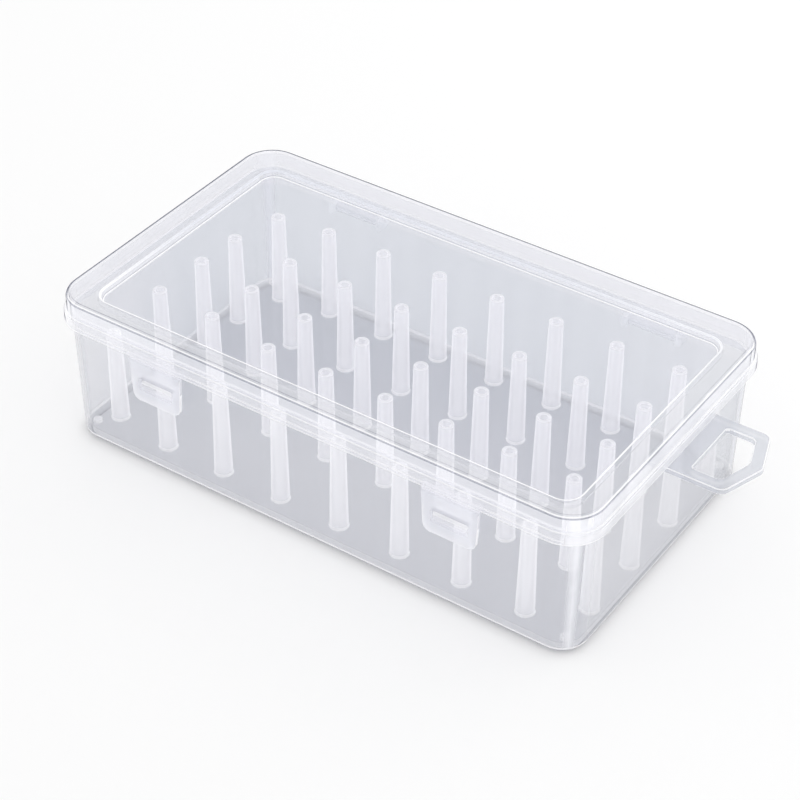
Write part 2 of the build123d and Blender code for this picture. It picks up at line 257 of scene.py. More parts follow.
def makeLid():
    start = lid["skirtFoot"] + lid["skirtRound"]
    steep = -90 + lid["draft"]
    outside = outlinePlate(0, start)
    walk([(0, lid["skirtHeight"] - 2 * lid["skirtRound"])])
    walk(turn(lid["skirtRound"], 90, 0, 6))
    walk([(lid["step"] - lid["skirtRound"] - lid["wallFoot"], 0)] + turn(lid["wallFoot"], 0, 90, 2))
    wallTop = box["height"] - lid["topRound"]
    walk([(0, wallTop - lid["skirtFoot"] - lid["skirtHeight"] - lid["wallFoot"])])
    walk(turn(lid["topRound"], 90, 0, 8) + [(lid["land"], 0)])
    bpy.ops.mesh.delete(type="FACE")
    stepTop = box["height"] - lid["fall"]
    # the last of the slope is a ring of its own, the line of light along the lip
    bead = (lid["stepBead"], -lean(lid["stepBead"], lid["beadLean"]))
    beadTop = stepTop - bead[1]
    panel = outlinePlate(lid["stepInset"] - bead[0], beadTop, lid["stepCorner"] + bead[0])
    lip = turn(lid["stepLip"], -lid["lipLean"], steep, 3)
    foot = turn(lid["stepFoot"], steep, 0, 4)
    drop = lid["panelDepth"] - lid["fall"] + sum(rise for inset, rise in lip + foot)
    walk([bead] + lip + [(lean(drop, lid["draft"]), -drop)] + foot)
    outside = joinSlope("lidOutside", outside, panel, box["height"], beadTop)

    inside = outlinePlate(0, start)
    walk(turn(lid["skirtRound"], -90, 0, 6))
    innerFace = lid["step"] + lid["wall"]
    walk([(innerFace - lid["skirtRound"] - lid["footRound"], 0)])
    walk(turn(lid["footRound"], 0, 90, 4))
    ceiling = box["height"] - lid["thickness"]
    walk([(0, ceiling - lid["innerRound"] - lid["skirtFoot"] - lid["footRound"])])
    walk(turn(lid["innerRound"], 90, 0, 3) + [(slopeStart - innerFace - lid["innerRound"], 0)])
    bpy.ops.mesh.delete(type="FACE")
    low = stepTop - lid["thickness"]
    panel = outlinePlate(lid["stepInset"] - lid["wall"], low, lid["stepCorner"] + lid["wall"])
    foot = turn(lid["stepFoot"], steep, 0, 4)
    drop = lid["panelDepth"] - lid["fall"] + sum(rise for inset, rise in foot)
    walk([(lean(drop, lid["draft"]), -drop)] + foot)
    inside = joinSlope("lidInside", inside, panel, ceiling, low)
    turnInsideOut()
    return closeShell("lidShell", outside, inside)


# how deep the foot of a peg or a nub starts inside the floor
sunk = 0.3

# pegs: hollow and tapered, with a rounded lip and a flared foot
pegs = {
    "sides": 28, "footRadius": 4.0, "bottomRadius": 3.7, "topRadius": 2.95, "top": 44.5, "lip": 0.45,
    "wall": 1.15, "boreBottom": 5.0, "boreRadius": 1.3, "boreRound": 0.5,
    # the hollow curve from the foot into the shaft, step by step: how far in and how far up
    "flare": [(0.12, 0.2), (0.1, 0.3), (0.08, 0.4)],
    "rows": (-54.0, -23.8, 0.0, 27.0, 54.0), "firstColumn": -102.4, "columnPitch": 27.3, "columns": 8,
    "endReach": 107.0, "endRows": (-39.5, -10.7, 18.1, 46.9),
    # pegs out of line, by row and column: how far along and how far back
    "stray": {(0, 0): (0, 3.8), (1, 0): (-3.6, 6.0), (2, 0): (-2.6, 7.6), (3, 0): (-1.6, 1.4),
              (4, 0): (3.6, -2.9), (1, 1): (-2.9, 3.8), (2, 1): (-1.3, 3.5)},
}


def makePeg():
    workOn()
    bpy.ops.mesh.primitive_cylinder_add(
        vertices=pegs["sides"], radius=pegs["footRadius"] * mm, depth=2 * sunk * mm,
        location=(0, 0, tray["floor"] * mm))
    peg = bpy.context.object
    settle(peg)
    pick(peg, "FACE", lambda place, normal: normal.z > 0.9)
    walk(pegs["flare"])
    shaft = pegs["top"] - pegs["lip"] - tray["floor"] - sunk - sum(rise for inset, rise in pegs["flare"])
    walk([(pegs["bottomRadius"] - pegs["topRadius"], shaft)])
    walk(turn(pegs["lip"], 90, 0, 5))
    walk([(pegs["wall"] - 2 * pegs["lip"], 0)])
    walk(turn(pegs["lip"], 0, -90, 5))
    bore = pegs["topRadius"] - pegs["wall"]
    walk([(bore - pegs["boreRadius"], pegs["boreBottom"] - pegs["top"] + pegs["lip"])])
    walk(turn(pegs["boreRound"], -90, 0, 3))
    smooth(peg, 40)
    return peg


def copiesAt(master, places, name):
    copies = []
    for x, y in places:
        workOn(master)
        bpy.ops.object.duplicate(linked=False)
        copy = bpy.context.object
        copy.location = (x * mm, y * mm, 0)
        copies.append(copy)
    return joinAs(name, *copies)


def pegRow(row):
    places = []
    for column in range(pegs["columns"]):
        along, back = pegs["stray"].get((row, column), (0, 0))
        places.append((pegs["firstColumn"] + column * pegs["columnPitch"] + along, pegs["rows"][row] + back))
    return places


# nubs: four low buttons in the corners of the floor
nubs = {"radius": 1.9, "height": 1.3, "round": 0.8, "x": 107.8, "y": 57.8}


def makeNubs():
    workOn()
    bpy.ops.mesh.primitive_cylinder_add(
        vertices=24, radius=nubs["radius"] * mm, depth=2 * sunk * mm, location=(0, 0, tray["floor"] * mm))
    nub = bpy.context.object
    settle(nub)
    pick(nub, "FACE", lambda place, normal: normal.z > 0.9)
    walk([(0, nubs["height"] - nubs["round"] - sunk)])
    walk(turn(nubs["round"], 90, 0, 5))
    smooth(nub, 40)
    spots = [(a * nubs["x"], b * nubs["y"]) for a in (-1, 1) for b in (-1, 1)]
    whole = copiesAt(nub, spots, "cornerNubs")
    bpy.data.objects.remove(nub)
    return whole


def cutWindow():
    # opens the selected faces and walls the hole between them
    bpy.ops.mesh.delete(type="FACE")
    bpy.ops.mesh.select_mode(type="EDGE")
    bpy.ops.mesh.select_non_manifold()
    bpy.ops.mesh.bridge_edge_loops()


def bevelSelected(width, steps=6):
    bpy.ops.mesh.bevel(offset=width * mm, segments=steps, affect="EDGES", clamp_overlap=True)


def softEdges(piece, width, steps=3, angle=38):
    modify(piece, "BEVEL", width=width * mm, segments=steps, limit_method="ANGLE",
           angle_limit=math.radians(angle), use_clamp_overlap=True)
    smooth(piece, 40)


# handle: a flat loop with a blunt point, moulded on the end wall
handle = {
    "root": 114.6, "windowRoot": 119.5, "shoulder": 139.9, "tip": 146.1, "middle": 8.7, "half": 18.7,
    "low": 50.9, "high": 53.5, "bar": 5.2, "shoulderCut": 2.9, "tipCut": 1.3, "windowCut": 1.8,
    "edge": 0.7,
}


def makeHandle():
    y, half = handle["middle"], handle["half"]
    loop = block((handle["windowRoot"], y - half, handle["low"]),
                 (handle["shoulder"], y + half, handle["high"]))
    pick(loop, "FACE", lambda place, normal: normal.x > 0.9)
    bpy.ops.mesh.extrude_region_move(
        TRANSFORM_OT_translate={"value": ((handle["tip"] - handle["shoulder"]) * mm, 0, 0)})
    bpy.ops.transform.resize(value=(1, 0, 1))
    mergeDoubles()
    for side in (1, -1):
        pick(loop, "FACE", lambda place, normal: normal.z * side > 0.9)
        bpy.ops.mesh.dissolve_faces()
        walk([(handle["bar"], 0)])
    windowStart = handle["windowRoot"] + handle["bar"]
    pick(loop, "FACE", lambda place, normal: abs(normal.z) > 0.9 and abs(place.y - y) < 2
         and place.x > windowStart)
    cutWindow()
    pick(loop, "FACE", lambda place, normal: normal.x < -0.9 and place.x < handle["windowRoot"] + 0.1)
    bpy.ops.transform.translate(value=((handle["root"] - handle["windowRoot"]) * mm, 0, 0))
    upright = lambda a, b: abs(a.x - b.x) < 0.01 and abs(a.y - b.y) < 0.01
    pick(loop, "EDGE", lambda a, b: upright(a, b) and abs(a.x - handle["shoulder"]) < 0.1
         and abs(a.y - y) > half - 0.1)
    bevelSelected(handle["shoulderCut"], 8)
    pick(loop, "EDGE", lambda a, b: upright(a, b) and a.x > handle["tip"] - 0.1)
    bevelSelected(handle["tipCut"], 6)
    within = handle["bar"] - 0.7                 # past this only the window's own edges are left
    pick(loop, "EDGE", lambda a, b: upright(a, b) and abs(a.y - y) < half - within
         and handle["root"] + within < a.x < handle["tip"] - within)
    bevelSelected(handle["windowCut"], 6)
    softEdges(loop, handle["edge"], 4)
    loop.name = "carryHandle"
    return loop


# latch: a thin tab with a window, hanging from a round edge under the skirt
latch = {
    "places": (-65.5, 65.5), "half": 12.0, "taper": 1.0, "plane": -69.2, "thickness": 1.6, "line": 54.0,
    "foot": 36.8, "corner": 4.0, "windowHalf": 7.8, "windowTop": 47.2, "windowFoot": 42.0,
    "windowCorner": 0.8, "edge": 0.55,
}


def makeLatch(centre):
    t = latch["thickness"] / 2
    tabTop = latch["line"] + t
    tab = block((-latch["half"], latch["plane"] - t, latch["foot"]),
                (latch["half"], latch["plane"] + t, tabTop))
    pick(tab, "VERT", lambda p: p.z < latch["foot"] + 0.1)
    bpy.ops.transform.resize(value=(1 - latch["taper"] / latch["half"], 1, 1))
    for side in (-1, 1):
        bpy.ops.mesh.select_all(action="SELECT")
        bpy.ops.mesh.bisect(plane_co=(side * latch["windowHalf"] * mm, 0, 0), plane_no=(1, 0, 0))
    for height in (latch["windowFoot"], latch["windowTop"]):
        bpy.ops.mesh.select_all(action="SELECT")
        bpy.ops.mesh.bisect(plane_co=(0, 0, height * mm), plane_no=(0, 0, 1))
    inWindow = lambda p: abs(p.x) < latch["windowHalf"] and latch["windowFoot"] < p.z < latch["windowTop"]
    pick(tab, "FACE", lambda place, normal: abs(normal.y) > 0.9 and inWindow(place))
    cutWindow()
    through = lambda a, b: abs(a.x - b.x) < 0.01 and abs(a.z - b.z) < 0.01
    footHalf = latch["half"] - latch["taper"]
    pick(tab, "EDGE", lambda a, b: through(a, b) and abs(a.x) > footHalf - 1 and a.z < latch["foot"] + 0.1)
    bevelSelected(latch["corner"], 8)
    pick(tab, "EDGE", lambda a, b: through(a, b) and abs(abs(a.x) - latch["windowHalf"]) < 0.1
         and min(abs(a.z - latch["windowFoot"]), abs(a.z - latch["windowTop"])) < 0.1)
    bevelSelected(latch["windowCorner"], 4)
    # the upper edges are rounded right into each other, round the line that the tab hangs from
    pick(tab, "EDGE", lambda a, b: min(a.z, b.z) > tabTop - 0.01 and abs(a.y - b.y) < 0.01)
    bevelSelected(t * 0.98, 5)
    softEdges(tab, latch["edge"], 3)
    tab.location.x = centre * mm
    settle(tab)
    return tab


# lip on the skirt over each latch
mount = {"half": 12.0, "front": -70.0, "back": -67.3, "low": 54.9, "high": 57.0, "round": 0.8, "edge": 0.25}


def makeMount(centre):
    lip = block((centre - mount["half"], mount["front"], mount["low"]),
                (centre + mount["half"], mount["back"], mount["high"]))
    pick(lip, "EDGE", lambda a, b: max(a.y, b.y) < mount["front"] + 0.1
         and min(a.z, b.z) > mount["high"] - 0.1)
    bevelSelected(mount["round"], 5)
    softEdges(lip, mount["edge"], 3)
    return lip


# wedge on the front wall that the latch window drops over
catch = {"half": 7.3, "face": -69.5, "root": -64.7, "low": 42.3, "high": 46.1, "chamfer": 1.2, "edge": 0.3}


def makeCatch(centre):
    wedge = block((centre - catch["half"], catch["face"], catch["low"]),
                  (centre + catch["half"], catch["root"], catch["high"]))
    pick(wedge, "EDGE", lambda a, b: max(a.y, b.y) < catch["face"] + 0.1
         and min(a.z, b.z) > catch["high"] - 0.1)
    bevelSelected(catch["chamfer"], 1)
    softEdges(wedge, catch["edge"], 3)
    return wedge


# rear hinges: a pin between two lugs on the tray, gripped by an open clip on the lid
hinge = {
    "places": (-69.5, 69.5), "width": 26.0, "lug": 2.3, "gap": 0.3, "y": 68.21958, "z": 48.0, "pin": 1.4,
    "bore": 1.45, "knuckle": 2.6, "arm": 2.6, "armTop": 56.8, "lap": 68.3, "mouth": 2.0, "mouthReach": 4.0,
    "wallY": 64.4, "edge": 0.3, "pinSunk": 0.5, "pinEdge": 0.2, "armRound": 0.8, "armEdge": 0.15,
    "past": 20.0,                                # how far the cutters reach to each side
}


def makeLugs(centre):
    y, z, r = hinge["y"], hinge["z"], hinge["knuckle"]
    sides = []
    for side in (-1, 1):
        x = centre + side * (hinge["width"] - hinge["lug"]) / 2
        lug = block((x - hinge["lug"] / 2, hinge["wallY"], z - r), (x + hinge["lug"] / 2, y + r, z + r))
        pick(lug, "EDGE", lambda a, b: min(a.y, b.y) > y + r - 0.1 and abs(a.z - b.z) < 0.1)
        bevelSelected(r * 0.99, 9)
        softEdges(lug, hinge["edge"], 3)
        sides.append(lug)
    return joinAs("lugs", *sides)


def rod(centre, radius, half, sides=32):
    # a round rod along the hinge line
    workOn()
    bpy.ops.mesh.primitive_cylinder_add(
        vertices=sides, radius=radius * mm, depth=2 * half * mm,
        location=(centre * mm, hinge["y"] * mm, hinge["z"] * mm), rotation=(0, math.pi / 2, 0))
    piece = bpy.context.object
    settle(piece)
    return piece


def makePin(centre):
    pin = rod(centre, hinge["pin"], hinge["width"] / 2 - hinge["lug"] + hinge["pinSunk"], 24)
    softEdges(pin, hinge["pinEdge"], 2)
    return pin


def combine(piece, other, operation):
    modify(piece, "BOOLEAN", object=other, operation=operation, solver="EXACT")
    bpy.data.objects.remove(other)


def makeArm(centre):
    y, z, t = hinge["y"], hinge["z"], hinge["arm"] / 2
    half = hinge["width"] / 2 - hinge["lug"] - hinge["gap"]
    arm = block((centre - half, y - t, z), (centre + half, y + t, lid["skirtFoot"]))
    pick(arm, "FACE", lambda place, normal: normal.z > 0.9)
    # the upper part only laps over the outside of the skirt
    bpy.ops.mesh.extrude_region_move(
        TRANSFORM_OT_translate={"value": (0, 0, (hinge["armTop"] - lid["skirtFoot"]) * mm)})
    pick(arm, "FACE", lambda place, normal: normal.y < -0.9 and place.z > lid["skirtFoot"])
    bpy.ops.transform.translate(value=(0, (hinge["lap"] - y + t) * mm, 0))
    pick(arm, "EDGE", lambda a, b: min(a.z, b.z) > hinge["armTop"] - 0.1 and min(a.y, b.y) > y + t - 0.1)
    bevelSelected(hinge["armRound"], 4)
    combine(arm, rod(centre, hinge["knuckle"], half), "UNION")
    combine(arm, rod(centre, hinge["bore"], hinge["past"]), "DIFFERENCE")
    mouth = block((centre - hinge["past"], y - hinge["mouth"] / 2, z - hinge["mouthReach"]),
                  (centre + hinge["past"], y + hinge["mouth"] / 2, z))
    combine(arm, mouth, "DIFFERENCE")
    softEdges(arm, hinge["armEdge"], 2, 50)
    return arm


def pair(name, make, places):
    # the same piece on the left and on the right
    return [joinAs(name + side, make(x)) for side, x in zip(("Left", "Right"), places)]


print("modelling the tray and the lid")
trayShell = makeTray()
lidShell = makeLid()
print("modelling the pegs and the nubs")
peg = makePeg()
pegPieces = [copiesAt(peg, pegRow(row), "pegsRow%d" % (row + 1)) for row in range(len(pegs["rows"]))]
endPegs = copiesAt(peg, [(pegs["endReach"], y) for y in pegs["endRows"]], "pegsEndColumn")
bpy.data.objects.remove(peg)
cornerNubs = makeNubs()
print("modelling the handle, the latches and the hinges")
carryHandle = makeHandle()
tabs = pair("latchTab", makeLatch, latch["places"])
mounts = pair("latchMount", makeMount, latch["places"])
catches = pair("catch", makeCatch, latch["places"])
lugs = pair("hingeLugs", makeLugs, hinge["places"])
pins = pair("hingePin", makePin, hinge["places"])
arms = pair("hingeArm", makeArm, hinge["places"])


# Natural polypropylene, injection moulded. It is never quite clear: every face lets most light straight
# through, scatters a little of it as a milky haze, and has the even gloss of a polished mould. Where a
# face turns away from the eye the way through it is longer, so edges and rounds look whiter. At the very
# outline a painted dark tint stands for the darker places that a round shows there.
# "passed" is the colour seen through one face, "milk" that of the scattered part, and where one of them
# is a pair, the first is for the front right of the box and the second for the back left, a painted light
# and shade across the box. "lit" is the tint of light that goes through to other surfaces. "haze" and
# "glow" run from a face seen straight on to one seen edge-on; the glow is an emission, a painted highlight.
# "outline" says how far a face turns to go dark.
# painted light on the tray's walls: a shade at the back left, a pale band in the upright corners, a dark
# outline and a faint glow seen edge-on; the inner faces keep the colours, drop the band and the outline, and
# glow more
wallLook = {"name": "mouldedPolypropyleneWall", "passed": ("FBFBFC", "F4F6F8"), "milk": "EDEEF2",
            "lit": "F8F8F9", "haze": (0.05, 0.4), "edgePower": 3.0, "gloss": 0.06, "cloud": 0.25,
            "corner": 0.7, "outline": (0.86, 0.98), "glow": (0, 0.1)}
insideLook = {**wallLook, "name": "mouldedPolypropyleneInside", "corner": None, "outline": None,
              "glow": (0, 0.3)}
rimLook = {"name": "mouldedPolypropyleneRim", "passed": "FCFCFD", "milk": "F6F7FA",
           "lit": "FAFAFB", "haze": (0.1, 0.4), "edgePower": 3.0, "gloss": 0.06, "cloud": 0.2}
# painted shade: the floor is darker at the back left
floorLook = {"name": "mouldedPolypropyleneFloor", "passed": ("F6F7F8", "F1F3F5"),
             "milk": ("E4E6EA", "DEE1E7"), "lit": "EFEFF1", "haze": (0.05, 0.4), "edgePower": 3.0,
             "gloss": 0.08, "cloud": 0.25}
panelLook = {"name": "mouldedPolypropylenePanel", "passed": "F9F9FB", "milk": "EAEBF0",
             "lit": "FDFDFE", "haze": (0.03, 0.5), "edgePower": 3.0, "gloss": 0.05, "cloud": 0.3}
borderLook = {"name": "mouldedPolypropyleneBorder", "passed": "FBFBFC", "milk": "F0F1F5",
              "lit": "F9F9FA", "haze": (0.1, 0.5), "edgePower": 3.0, "gloss": 0.06, "cloud": 0.3}
# painted light on the lid's wall and skirt: a glow all over, a shade at the back left, a pale band in the
# upright corners and a dark outline
lidWallLook = {"name": "mouldedPolypropyleneLidWall", "passed": ("FBFBFD", "FAFAFC"),
               "milk": ("F4F5F8", "EEEFF3"), "lit": "F9F9FA", "haze": (0.21, 0.45), "edgePower": 3.0,
               "gloss": 0.06, "cloud": 0.15, "corner": 0.2, "outline": (0.72, 0.92), "glow": (0.32, 0.35)}
skirtLook = {"name": "mouldedPolypropyleneSkirt", "passed": ("FDFDFE", "FCFCFD"),
             "milk": ("FAFAFC", "F4F5F8"), "lit": "F8F8FA", "haze": (0.2, 0.55), "edgePower": 2.6,
             "gloss": 0.08, "cloud": 0.1, "corner": 0.2, "outline": (0.72, 0.92), "glow": (0.15, 0.17)}
# painted highlight: pegs, latches and hinges glow, most where they are seen edge-on
pegLook = {"name": "mouldedMilkyPolypropylenePegs", "passed": "FDFDFE", "milk": "FEFEFF", "lit": "FFFFFF",
           "haze": (0.4, 1.0), "edgePower": 2.6, "gloss": 0.12, "cloud": 0.1, "glow": (0.15, 0.75)}
latchLook = {"name": "mouldedPolypropyleneLatch", "passed": "FAFAFC", "milk": "F2F3F7", "lit": "FAFAFC",
             "haze": (0.32, 0.8), "edgePower": 2.2, "gloss": 0.08, "cloud": 0.1, "glow": (0.14, 0.25)}
hingeLook = {"name": "mouldedPolypropyleneHinge", "passed": "FFFFFF", "milk": "FEFEFF", "lit": "FFFFFF",
             "haze": (0.18, 0.45), "edgePower": 2.4, "gloss": 0.08, "cloud": 0.1, "glow": (0.28, 0.34)}
# painted shade: the handle's passed and milk colours are darker than those of the other parts
handleLook = {"name": "mouldedPolypropyleneHandle", "passed": "F1F2F5", "milk": "E9EBEF", "lit": "F4F4F6",
              "haze": (0.27, 0.9), "edgePower": 2.2, "gloss": 0.08, "cloud": 0.1}
# painted highlight: a near white, hazy and glowing finish for rounds and edges
edgeHighlightLook = {"name": "mouldedPolypropyleneRoundHighlight", "passed": "FEFEFF", "milk": "FFFFFF", "lit": "FFFFFF",
            "haze": (0.65, 0.95), "edgePower": 2.0, "gloss": 0.1, "cloud": 0.05, "glow": (0.12, 0.2)}
# painted highlight on the brim and its top, with a painted dark outline where they are seen edge-on
brimLook = {"name": "mouldedPolypropyleneBrim", "passed": ("FEFEFF", "FCFCFD"), "milk": "FFFFFF",
            "lit": "FFFFFF", "haze": (0.75, 0.8), "edgePower": 2.0, "gloss": 0.1, "cloud": 0.05,
            "outline": (0.4, 0.58), "everywhere": True, "glow": (0.15, 0.2)}
brimTopLook = {"name": "mouldedPolypropyleneBrimTop", "passed": "FBFBFC", "milk": "F0F1F5",
               "lit": "FFFFFF", "haze": (0.1, 0.4), "edgePower": 3.0, "gloss": 0.08, "cloud": 0.05,
               "outline": (0.4, 0.56), "everywhere": True}
# painted shade and highlight on the round of the foot: a grey band, a bright line above it and a dark line
# below it; the band and the dark line are strongest at the front right and fade towards the back left, and
# the foot stops more of the light, which darkens the paper beside the box
footBandShadeLook = {"name": "mouldedPolypropyleneFoot", "passed": ("ECEDF1", "FBFBFC"), "milk": ("DCDEE5", "F2F3F6"),
            "lit": "A8A8AC", "haze": (0.25, 0.5), "edgePower": 3.0, "gloss": 0.08, "cloud": 0.1}
footHighlightLook = {"name": "mouldedPolypropyleneFootHighlight", "passed": "FEFEFF", "milk": "FFFFFF",
                "lit": "A8A8AC", "haze": (0.65, 0.8), "edgePower": 2.0, "gloss": 0.1, "cloud": 0.05,
                "glow": (0.1, 0.2)}
footShadeLook = {"name": "mouldedPolypropyleneFootShade", "passed": ("D0D1D8", "FAFAFC"),
                 "milk": ("CCCED6", "F2F3F6"), "lit": "C8C8CC", "haze": (0.2, 0.4), "edgePower": 2.0,
                 "gloss": 0.12, "cloud": 0.05}
# painted shade: a dark finish for undercuts, the top of the latch window, the brim's lower half and the upper
# part of the step's foot
paintedShadeLook = {"name": "mouldedPolypropylenePaintedShade", "passed": ("D0D1D8", "C8CAD2"),
                "milk": ("CCCED6", "C4C6D0"), "lit": "C8C8CC", "haze": (0.2, 0.4), "edgePower": 2.0,
                "gloss": 0.12, "cloud": 0.05}
# painted highlight on the step's lip at the front right, turning to painted shade at the back left, and a
# painted highlight on the step's foot and on the pegs' rings
stepLipLook = {"name": "mouldedPolypropyleneStepLip", "passed": ("FEFEFF", "F6F7F9"),
               "milk": ("FFFFFF", "E0E2E9"), "lit": "FEFEFE", "haze": (0.78, 0.84), "edgePower": 3.0,
               "gloss": 0.12, "cloud": 0.05, "glow": (0.2, 0.22)}
stepFootHighlightLook = {"name": "mouldedPolypropyleneStepFootHighlight", "passed": "FEFEFF", "milk": "FFFFFF",
                "lit": "FFFFFF", "haze": (0.8, 0.9), "edgePower": 2.0, "gloss": 0.1, "cloud": 0.05,
                "glow": (0.14, 0.18)}

# what all these finishes share; the lengths are in mm
moulding = {
    "ripple": 30.0, "rippleStrength": 0.04, "rippleDistance": 20.0,      # slow waves in the polish
    "flow": 25.0, "flowBend": 0.6,                                       # flow marks in the haze
    "through": 0.4,                                                      # share of the haze that goes on
    "cornerStart": 0.5, "band": (5.0, 8.4), "bandGlow": 0.3,             # the upright corners
    "paintedOutlineShade": "8C8E9A",
    "mirror": (0.04, 1.0), "mirrorPower": 5.0,                           # gloss, straight on and edge-on
    "paintedLightSweep": (-20.0, 50.0), "paintedLightSweepSlope": -0.4,                            # from front right to back left
}


def makePlastic(look):
    material = bpy.data.materials.new(look["name"])
    material.use_nodes = True
    tree = material.node_tree
    tree.nodes.clear()
    place = addNode(tree, "ShaderNodeTexCoord").outputs["Object"]
    part = addNode(tree, "ShaderNodeSeparateXYZ", {"Vector": place})
    ripple = addNode(tree, "ShaderNodeTexNoise",
                     {"Vector": place, "Scale": 1 / (moulding["ripple"] * mm), "Detail": 2.0})
    bump = addNode(tree, "ShaderNodeBump", {"Height": ripple, "Strength": moulding["rippleStrength"],
                                            "Distance": moulding["rippleDistance"] * mm})
    flow = addNode(tree, "ShaderNodeTexNoise",
                   {"Vector": place, "Scale": 1 / (moulding["flow"] * mm), "Detail": 3.0,
                    "Distortion": moulding["flowBend"]})
    uneven = addNode(tree, "ShaderNodeMapRange",
                     {"Value": flow, "To Min": 1 - look["cloud"], "To Max": 1 + look["cloud"]})
    facing = addNode(tree, "ShaderNodeLayerWeight", {"Blend": 0.5}).outputs["Facing"]
    slant = addNode(tree, "ShaderNodeMath", {0: facing, 1: look["edgePower"]}, operation="POWER")
    straight, edgeOn = look["haze"]
    haze = addNode(tree, "ShaderNodeMapRange", {"Value": slant, "To Min": straight, "To Max": edgeOn})
    if look.get("glow"):
        # painted highlight: an emission of the milk colour that grows as the face turns edge-on, for light
        # caught inside the wall that leaves it where it bends
        straight, edgeOn = look["glow"]
        glow = addNode(tree, "ShaderNodeMapRange", {"Value": slant, "To Min": straight, "To Max": edgeOn})

    # how far a place lies in the rounded upright corners of the box
    beyond = []
    for axis, size in (("X", box["length"]), ("Y", box["depth"])):
        aside = addNode(tree, "ShaderNodeMath", {0: part.outputs[axis]}, operation="ABSOLUTE")
        beyond.append(addNode(tree, "ShaderNodeMath", {0: aside, 1: (size / 2 - box["corner"]) * mm},
                              operation="SUBTRACT"))
    corner = addNode(tree, "ShaderNodeMath", {0: beyond[0], 1: beyond[1]}, operation="MINIMUM")
    inCorner = addNode(tree, "ShaderNodeMath", {0: corner, 1: moulding["cornerStart"] * mm},
                       operation="GREATER_THAN")
    if look.get("corner"):
        # painted highlight: a pale band of haze and glow down the upright corners, for the light of the room
        # that the corners bend
        start, end = moulding["band"]
        band = addNode(tree, "ShaderNodeMapRange",
                       {"Value": corner, "From Min": start * mm, "From Max": end * mm,
                        "To Max": look["corner"]}, interpolation_type="SMOOTHSTEP")
        bent = addNode(tree, "ShaderNodeMath", {0: inCorner, 1: look["corner"]}, operation="MULTIPLY")
        veil = addNode(tree, "ShaderNodeMath", {0: bent, 1: slant, 2: band}, operation="MULTIPLY_ADD")
        haze = addNode(tree, "ShaderNodeMath", {0: haze, 1: veil}, operation="ADD")
        glow = addNode(tree, "ShaderNodeMath", {0: band, 1: moulding["bandGlow"], 2: glow},
                       operation="MULTIPLY_ADD")
    haze = addNode(tree, "ShaderNodeMath", {0: haze, 1: uneven}, operation="MULTIPLY", use_clamp=True)
    grazing = addNode(tree, "ShaderNodeMath", {0: facing, 1: moulding["mirrorPower"]}, operation="POWER")
    straight, edgeOn = moulding["mirror"]
    shine = addNode(tree, "ShaderNodeMapRange", {"Value": grazing, "To Min": straight, "To Max": edgeOn})

    # painted light and shade: each pair of colours blends from the front right to the back left of the box
    along = addNode(tree, "ShaderNodeMath",
                    {0: part.outputs["X"], 1: moulding["paintedLightSweepSlope"], 2: part.outputs["Y"]},
                    operation="MULTIPLY_ADD")
    start, end = moulding["paintedLightSweep"]
    far = addNode(tree, "ShaderNodeMapRange", {"Value": along, "From Min": start * mm, "From Max": end * mm})
    passed, milk = [
        linear(colour) if isinstance(colour, str) else addNode(
            tree, "ShaderNodeMix", {0: far, 6: linear(colour[0]), 7: linear(colour[1])},
            data_type="RGBA").outputs[2]
        for colour in (look["passed"], look["milk"])]
    if look.get("outline"):
        # painted shade: rounds seen edge-on are tinted dark, at the upright corners or on every thin edge
        start, end = look["outline"]
        dark = addNode(tree, "ShaderNodeMapRange", {"Value": facing, "From Min": start, "From Max": end},
                       interpolation_type="SMOOTHSTEP")
        if not look.get("everywhere"):
            dark = addNode(tree, "ShaderNodeMath", {0: dark, 1: inCorner}, operation="MULTIPLY")
        rest = addNode(tree, "ShaderNodeMath", {0: 1.0, 1: dark}, operation="SUBTRACT")
        haze = addNode(tree, "ShaderNodeMath", {0: haze, 1: rest}, operation="MULTIPLY")
        shine = addNode(tree, "ShaderNodeMath", {0: shine, 1: rest}, operation="MULTIPLY")
        passed = addNode(tree, "ShaderNodeMix", {0: dark, 6: passed, 7: linear(moulding["paintedOutlineShade"])},
                         data_type="RGBA").outputs[2]

    clear = addNode(tree, "ShaderNodeBsdfTransparent", {"Color": passed})
    back = addNode(tree, "ShaderNodeBsdfDiffuse", {"Color": milk})
    onward = addNode(tree, "ShaderNodeBsdfTranslucent", {"Color": milk})
    cloudy = addNode(tree, "ShaderNodeMixShader", {0: moulding["through"], 1: back, 2: onward})
    # painted highlight: the glow is added to the milky part of the finish
    if look.get("glow"):
        paintedEdgeGlow = addNode(tree, "ShaderNodeEmission", {"Color": milk, "Strength": glow})
        cloudy = addNode(tree, "ShaderNodeAddShader", {0: cloudy, 1: paintedEdgeGlow})
    body = addNode(tree, "ShaderNodeMixShader", {0: haze, 1: clear, 2: cloudy})
    polish = addNode(tree, "ShaderNodeBsdfGlossy", {"Roughness": look["gloss"], "Normal": bump})
    seen = addNode(tree, "ShaderNodeMixShader", {0: shine, 1: body, 2: polish})
    # light on its way to other surfaces keeps most of its strength, as it does in so thin a wall
    ray = addNode(tree, "ShaderNodeLightPath")
    soft = addNode(tree, "ShaderNodeMath",
                   {0: ray.outputs["Is Shadow Ray"], 1: ray.outputs["Is Diffuse Ray"]}, operation="MAXIMUM")
    thin = addNode(tree, "ShaderNodeBsdfTransparent", {"Color": linear(look["lit"])})
    whole = addNode(tree, "ShaderNodeMixShader", {0: soft, 1: seen, 2: thin})
    addNode(tree, "ShaderNodeOutputMaterial", {"Surface": whole})
    return material


